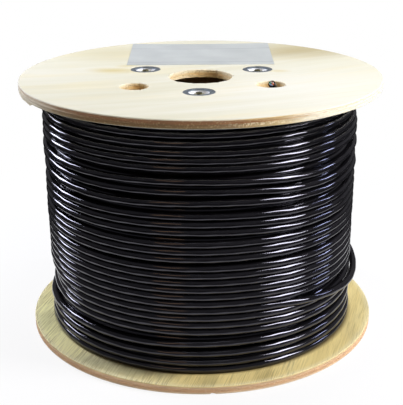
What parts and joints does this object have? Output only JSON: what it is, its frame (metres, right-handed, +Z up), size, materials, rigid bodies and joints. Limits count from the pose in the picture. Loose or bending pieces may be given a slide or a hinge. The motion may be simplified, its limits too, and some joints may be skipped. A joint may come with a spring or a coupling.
{
  "type": "wooden cable drum",
  "caption": "Plywood cable drum standing on end, with bolted round flanges, a central arbor hole and a full winding of glossy black data cable.",
  "frame": {"origin": "centre of the underside of the bottom flange, on the arbor axis, at floor level", "axes": "+Z up along the arbor axis, +X to the right of the picture, +Y away from its viewer, towards the label"},
  "size_m": [0.35, 0.35, 0.2538],
  "materials": {
    "plywood": "pale sanded plywood, bare, with brown plies along its edges",
    "paperboard": "brown spiral-wound paperboard",
    "cable_jacket": "glossy black extruded jacket with a faint lay of the pairs inside",
    "orange_wire": "orange wire insulation",
    "brown_wire": "brown wire insulation",
    "green_wire": "green wire insulation",
    "blue_wire": "blue wire insulation",
    "bolt_steel": "yellow passivated zinc on steel",
    "zinc_steel": "bright zinc plate on pressed steel",
    "label_film": "thin pale grey film, bare apart from two fine rules"
  },
  "bodies": {
    "root": {"bottom_flange": "plywood", "top_flange": "plywood", "core_tube": "paperboard", "cable_winding": "cable_jacket", "cable_tail": "cable_jacket", "orange_pair": "orange_wire", "brown_pair": "brown_wire", "green_pair": "green_wire", "blue_pair": "blue_wire", "tie_bolt_1": "bolt_steel", "tie_bolt_2": "bolt_steel", "tie_bolt_3": "bolt_steel", "nut_1": "bolt_steel", "nut_2": "bolt_steel", "nut_3": "bolt_steel", "bottom_washer_1": "zinc_steel", "bottom_washer_2": "zinc_steel", "bottom_washer_3": "zinc_steel", "top_washer_1": "zinc_steel", "top_washer_2": "zinc_steel", "top_washer_3": "zinc_steel", "label": "label_film"}
  },
  "joints": []
}
